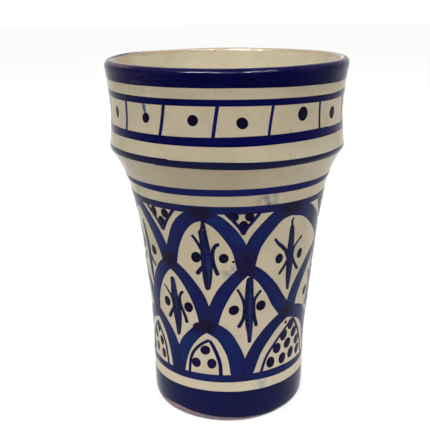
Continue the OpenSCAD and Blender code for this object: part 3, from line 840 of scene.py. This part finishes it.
# Spandrels
# The gaps between the first crowns hold a fine V of two thin cobalt strokes, which hangs from the ring
# above it, with three touches of the brush inside. They are drawn by hand once the scales are down.
spandrels = {
    0: ([(-51.9, 75.4), (-48.3, 72.9), (-44.8, 70.7), (-41.4, 67.7)],
        [(-41.4, 67.7), (-37.6, 71.2), (-34.1, 73.7), (-30.9, 75.8)],
        [(-46.7, 73.6, 1.2, 1.9), (-37.8, 73.8, 1.35, 1.5), (-41.3, 70.8, 1.3, 1.6)]),
    1: ([(-1.7, 76), (1.4, 74.1), (4.5, 72.1), (7.1, 70.3), (9, 68.2)],
        [(9, 68.2), (10.5, 70.2), (12.8, 71.8), (15.6, 73.8), (18.3, 75.8)],
        [(3.2, 74.6, 1.5, 1.6), (12, 74.3, 1.4, 1.45), (8.8, 71.2, 1.45, 1.6)]),
}
v_marks = []
v_dots = []
v_dot_tone = 0.78
for number in range(columns):
    left, right, dots = spandrels[number % 2]
    shift = 0 if number < 2 else row_2[number] - row_2[number % 2]
    for side in (left, right):
        v_marks.append(stroke([(a + shift, z) for a, z in side], 1.0, tone=0.6, rows=4))
    v_dots += [(a + shift, z, wide, tall, 0, v_dot_tone) for a, z, wide, tall in dots]
painted("spandrel_lines_brushed", "spandrel_lines", v_marks, [], fine_blue, lift=0.05)
painted("spandrel_dots_brushed", "spandrel_dots", [], v_dots, dot_blue, lift=0.06)

# Leaf sprays
# Each scale of the two upper rows holds a slim leaf drawn with one or two pressed strokes, a bracket on
# either side of it and two dots. No two sprays at the front are alike.
sprays = {
    "a": ([(-15.7, 69.8, 1.6), (-15, 67.7, 1.9), (-14, 64, 2.6), (-13.2, 60, 3.4), (-12.8, 55.5, 3.2),
           (-12.9, 52, 2.6), (-13.1, 48.8, 1.3)],
          [[(-13.9, 73.6, 0.7), (-13.4, 71.5, 0.8), (-12.9, 69, 0.95), (-12.2, 65.5, 1.1),
            (-11.2, 62.5, 1.2)],
           [(-13.9, 73.6, 0.7), (-14.6, 71.2, 0.7), (-15.3, 69.4, 0.9)],
           [(-21.3, 67.8, 0.75), (-19.2, 66.3, 0.9), (-17.3, 64.6, 0.95), (-15.8, 62.8, 1.0)],
           [(-15.2, 57.4, 1.0), (-17.6, 55.6, 1.35), (-19.8, 54.1, 1.25)],
           [(-4.8, 65.1, 1.1), (-7, 64.6, 1.15), (-8.6, 63.2, 1.15), (-9.2, 61.2, 1.2), (-9, 59.2, 1.2),
            (-8.1, 57, 1.2), (-6.1, 54.2, 1.35)]],
          [(-19.5, 60.1, 1.6, 1.75), (-2.5, 60.2, 1.4, 1.62), (3.2, 59, 0.42, 0.42)]),
    "b": ([(40.3, 69.3, 1.3), (40.8, 67, 2.1), (41.1, 64.4, 2.5), (41.1, 59.4, 3.0), (41.7, 55.3, 2.75),
           (41.8, 51, 2.2), (42, 46.3, 0.9)],
          [[(41, 71.7, 0.7), (39.9, 70.9, 0.7), (40.3, 69, 0.9)],
           [(28.4, 65.7, 0.8), (31.2, 63.9, 1.0), (34.9, 62.1, 1.25), (37.5, 60.5, 1.2),
            (38.9, 58.4, 1.1)],
           [(39, 57.2, 1.0), (38.2, 56.1, 1.0), (36, 54.4, 1.0), (33.4, 52.7, 1.0)],
           [(51, 64.2, 0.65), (48.6, 63.4, 0.7), (45.7, 62, 0.75), (44, 60.4, 0.9), (43.7, 58, 1.0),
            (45.6, 55.7, 1.0), (50, 52.6, 1.15)]],
          [(32.8, 58.4, 1.4, 1.6), (50.6, 58.1, 1.35, 1.6)]),
    "c": ([(-38.6, 51.5, 1.5), (-38.3, 49, 2.0), (-38.2, 45.5, 2.7), (-37.6, 42, 3.1), (-37.1, 38, 3.2),
           (-37, 34.5, 2.5), (-37.4, 30.3, 1.1)],
          [[(-47.4, 47.6, 0.55), (-44.6, 46.3, 0.65), (-41.6, 44.3, 0.9), (-40, 42, 1.0)],
           [(-39.8, 40.2, 1.0), (-41.8, 38.6, 1.2), (-45.3, 35.9, 1.2)],
           [(-30.3, 47, 0.85), (-32.4, 46.2, 0.9), (-33.8, 44.6, 1.0), (-33.8, 42.6, 1.0),
            (-32.5, 40.4, 1.1), (-30.6, 38, 1.15), (-29.4, 35.5, 1.25)]],
          [(-45.9, 41.6, 1.45, 1.6), (-27.4, 41.6, 1.58, 1.72)]),
    "d": ([(13.6, 53.4, 1.6), (13.6, 51.5, 2.3), (13.6, 47, 2.7), (13.6, 41, 3.0), (13.9, 36.3, 2.4),
           (14.4, 33.2, 1.6), (14.5, 29.4, 1.0)],
          [[(5.6, 49.4, 0.65), (8.1, 47, 0.8), (10, 44.5, 1.0), (10.6, 42, 1.0), (10, 39, 1.0),
            (8.4, 37, 1.1), (6.5, 35.3, 1.2)],
           [(21.4, 48.3, 0.8), (19, 46.8, 0.85), (17, 45, 0.95), (16.8, 42, 1.0), (17.4, 39, 1.0),
            (19, 35.3, 1.15)]],
          [(3.6, 41.8, 1.5, 1.75), (21.7, 42.7, 1.5, 1.8)]),
    "h": ([(-64.5, 68.5, 1.0), (-63.6, 65, 1.9), (-62.4, 60, 2.6), (-62, 55, 2.6), (-61.8, 50, 1.9),
           (-61.4, 46.5, 0.8)],
          [[(-59.9, 56.4, 1.0), (-57.5, 54.6, 1.1), (-54.5, 53, 1.1)],
           [(-75, 65, 0.8), (-71, 62, 1.0), (-68, 59, 1.1)],
           [(-67.5, 56.5, 1.0), (-71, 54.5, 1.0), (-74.5, 53, 1.1)]],
          [(-54.6, 58.8, 1.4, 1.6), (-71, 58.5, 1.4, 1.6)]),
}
spray_homes = {"a": row_1[1], "b": row_1[2], "c": row_2[0], "d": row_2[1], "h": row_1[0]}
spray_places = [("a", row_1[1], 0), ("b", row_1[2], 0), ("c", row_2[0], 0), ("d", row_2[1], 0),
                ("h", row_1[0], 0), ("a", row_1[3], -0.3), ("b", row_1[4], 0.4), ("a", row_1[5], 0.2),
                ("d", row_2[2] - 3.5, 0.6), ("c", row_2[3], 0.3), ("d", row_2[4], -0.4),
                ("c", row_2[5], 0.2)]
leaf_blue = cobalt("leaf_cobalt", [(0.0, 70, 95, 140), (0.3, 28, 44, 92), (0.5, 18, 21, 66),
                                   (0.7, 13, 12, 50), (1.0, 8, 6, 24)])
leaf_tone = 0.58
leaf_dot_tone = 0.8
leaf_marks = []
leaf_dots = []
for kind, turn, up in spray_places:
    leaf, brackets, dots = sprays[kind]
    shift = turn - spray_homes[kind]
    points = [(a + shift, z + up, w) for a, z, w in leaf]
    leaf_marks.append(stroke(points, tone=leaf_tone, core=0.2, waver=0.08, rows=12))
    for bracket in brackets:
        points = [(a + shift, z + up, w) for a, z, w in bracket]
        leaf_marks.append(stroke(points, tone=leaf_tone, rows=4))
    tip = -18 if kind in "bd" else 0
    leaf_dots += [(a + shift, z + up, wide, tall, tip, leaf_dot_tone) for a, z, wide, tall in dots]
painted("leaf_sprays_brushed", "leaf_sprays", leaf_marks, [], leaf_blue, lift=0.02)
painted("leaf_dots_brushed", "leaf_dots", [], leaf_dots, dot_blue)

# Arches at the base
# Each lowest scale holds a fine arch of two thin cobalt strokes that run from its tip down to the base
# ring. The arch is filled with three to ten dots, touched on one by one.
arches = {
    "e": ([[(-13.3, 30.5), (-17.8, 29.2), (-22.4, 27.3), (-25.9, 25), (-28.2, 22), (-29.4, 17.2)],
           [(-13.3, 30.5, 0.9), (-10.8, 28.3, 1.1), (-8, 25, 1.15), (-6.1, 21.6, 1.15),
            (-5.7, 17.2, 1.15)]],
          [(-16.6, 26.6), (-23.8, 21.5), (-12.1, 21.8)]),
    "f": ([[(51, 34.4), (46, 32.7), (38.9, 29.7), (32.4, 26.2), (27.1, 22.5), (23.4, 17.2)],
           [(51, 34.4), (57, 30.7), (62.5, 26.4), (66.7, 22), (70, 17.2)]],
          [(49.2, 32.4), (42.5, 29.2), (54, 28.7), (47.1, 25.5), (59.4, 24.8), (36.6, 25.1), (31.3, 20.5),
           (42.2, 20.5), (51.6, 21.2), (61.4, 20.7)]),
    "g": ([[(-62.2, 31.4), (-56.9, 28.2), (-53.1, 24.9), (-51.1, 20.9), (-50, 17.2)],
           [(-62.2, 31.4), (-68, 28.5), (-74, 24), (-78, 17.2)]],
          [(-62, 29), (-58.2, 24.8), (-55.9, 20.4), (-67.7, 25.9), (-65.6, 21.3), (-73.5, 20.4)]),
}
arch_homes = {"e": row_3[1], "f": row_3[2], "g": row_3[0]}
arch_dot_shapes = {"e": (1.48, 1.75, -30), "f": (1.6, 1.85, -8), "g": (1.2, 1.7, 0)}
arch_places = [("e", row_3[1], 1), ("f", row_3[2], 1), ("g", row_3[0], 1), ("g", row_3[3], 1.1),
               ("f", row_3[4], 0.78), ("e", row_3[5], 1.2)]
stray_dot = (43.4, 33.9, 0.55, 0.62, 0, 0.95)
arch_dot_tone = 0.7
arch_marks = []
arch_dots = [stray_dot]
for kind, turn, spread in arch_places:
    lines, dots = arches[kind]
    home = arch_homes[kind]
    for points in lines:
        points = [(turn + spread * (p[0] - home),) + p[1:] for p in points]
        arch_marks.append(stroke(points, 0.9, tone=0.58, rows=4))
    wide, tall, tip = arch_dot_shapes[kind]
    arch_dots += [(turn + spread * (a - home), z, wide, tall, tip, arch_dot_tone) for a, z in dots]
painted("arch_lines_brushed", "arch_lines", arch_marks, [], fine_blue, lift=0.04)
painted("arch_dots_brushed", "arch_dots", [], arch_dots, dot_blue)
bpy.data.objects.remove(dot_shape)

# Floor and light
# A plain pale floor that shows almost white, under a soft sky. Two strip lamps and two glint lamps stand in
# front of the cup and a soft fill lamp behind it. The glint lamps make only highlights, the fill lamp none.
floor_r = 3
grey_start = 0.08
grey_full = 0.2
floor_near = (0.78, 0.77, 0.75, 1)
floor_away = (0.24, 0.24, 0.24, 1)
floor_shown = (0.97, 0.97, 0.97, 1)
floor_glow = 0.78
pure_white = (1, 1, 1, 1)
sky_white = (1.0, 0.985, 0.96, 1)
sky_low = 0.5
sky_high = 1.05
bpy.ops.object.select_all(action="DESELECT")
bpy.ops.mesh.primitive_circle_add(vertices=96, radius=floor_r, fill_type="NGON")
floor = bpy.context.object
floor.name = "floor"
ground = bpy.data.materials.new("pale_floor")
ground.use_nodes = True
tree = ground.node_tree
tree.nodes.clear()


def seen_directly(tree):
    """1 for rays that show the background: from the camera, off gloss or through glass."""
    path = wire(tree, "LightPath").outputs
    shown = math_of(tree, "MAXIMUM", path["Is Camera Ray"], path["Is Glossy Ray"])
    return math_of(tree, "MAXIMUM", shown, path["Is Transmission Ray"])


where = wire(tree, "TexCoord").outputs["Object"]
away = wire(tree, "VectorMath", {0: where}, operation="LENGTH").outputs["Value"]
grey = blend_of(tree, share_of(tree, away, grey_start, grey_full), floor_near, floor_away)
matt = wire(tree, "BsdfDiffuse", {"Color": grey})
bright = wire(tree, "BsdfDiffuse", {"Color": floor_shown})
white = wire(tree, "Emission", {"Color": pure_white, "Strength": 1})
shown = wire(tree, "MixShader", {0: floor_glow, 1: bright.outputs[0], 2: white.outputs[0]})
either = wire(tree, "MixShader", {0: seen_directly(tree), 1: matt.outputs[0], 2: shown.outputs[0]})
wire(tree, "OutputMaterial", {"Surface": either.outputs[0]})
floor.data.materials.append(ground)

world = bpy.data.worlds.new("soft_sky")
bpy.context.scene.world = world
world.use_nodes = True
tree = world.node_tree
tree.nodes.clear()
heading = wire(tree, "SeparateXYZ", {0: wire(tree, "TexCoord").outputs["Generated"]})
high_up = share_of(tree, heading.outputs["Z"], 0.0, 1.0, most=sky_high, least=sky_low)
sky = wire(tree, "Background", {"Color": sky_white, "Strength": high_up})
plain = wire(tree, "Background", {"Color": pure_white, "Strength": 1})
either = wire(tree, "MixShader", {0: seen_directly(tree), 1: sky.outputs[0], 2: plain.outputs[0]})
wire(tree, "OutputWorld", {"Surface": either.outputs[0]})

lamp_far = 0.9
lamp_tilt = math.radians(46)
lamp_aim = Vector((0, 0, 0.11))
# Name, degrees from the front, width, height and power of each lamp.
lamps = (("strip_left", -26, 0.5, 0.013, 2.6), ("strip_right", 28, 0.4, 0.013, 1.7),
         ("glint_left", -25, 0.5, 0.09, 170), ("glint_right", 34, 0.4, 0.09, 140),
         ("fill_back", 180, 0.8, 0.8, 2.5))
for name, turn, wide, tall, power in lamps:
    bulb = bpy.data.lights.new(name, "AREA")
    bulb.shape = "RECTANGLE"
    bulb.size = wide
    bulb.size_y = tall
    bulb.energy = power
    lamp = bpy.data.objects.new(name, bulb)
    bpy.context.collection.objects.link(lamp)
    lamp.visible_diffuse = not name.startswith("glint")
    lamp.visible_glossy = not name.startswith("fill")
    aim = math.radians(turn)
    level = math.cos(lamp_tilt)
    place = Vector((math.sin(aim) * level, -math.cos(aim) * level, math.sin(lamp_tilt)))
    lamp.location = place * lamp_far + lamp_aim
    lamp.rotation_euler = place.to_track_quat("Z", "Y").to_euler()

# Camera
# A plain camera that stands in front of the cup, a little above its lip, and looks slightly down, as the
# photograph does. Its lens and its place were fitted to the outline of the cup.
eye_place = (0, -0.2547, 0.1410)
look_aside = Euler((0, 0, math.radians(0.990))).to_matrix()
look_down = Euler((math.radians(90 - 16.505), 0, 0)).to_matrix()
roll = Euler((0, 0, math.radians(-0.760))).to_matrix()
eye = bpy.data.cameras.new("camera")
eye.sensor_width = 36
eye.lens = 63.66
camera = bpy.data.objects.new("camera", eye)
bpy.context.collection.objects.link(camera)
camera.location = eye_place
camera.rotation_euler = (look_aside @ look_down @ roll).to_euler()
bpy.context.scene.camera = camera
bpy.context.scene.view_settings.view_transform = "Standard"
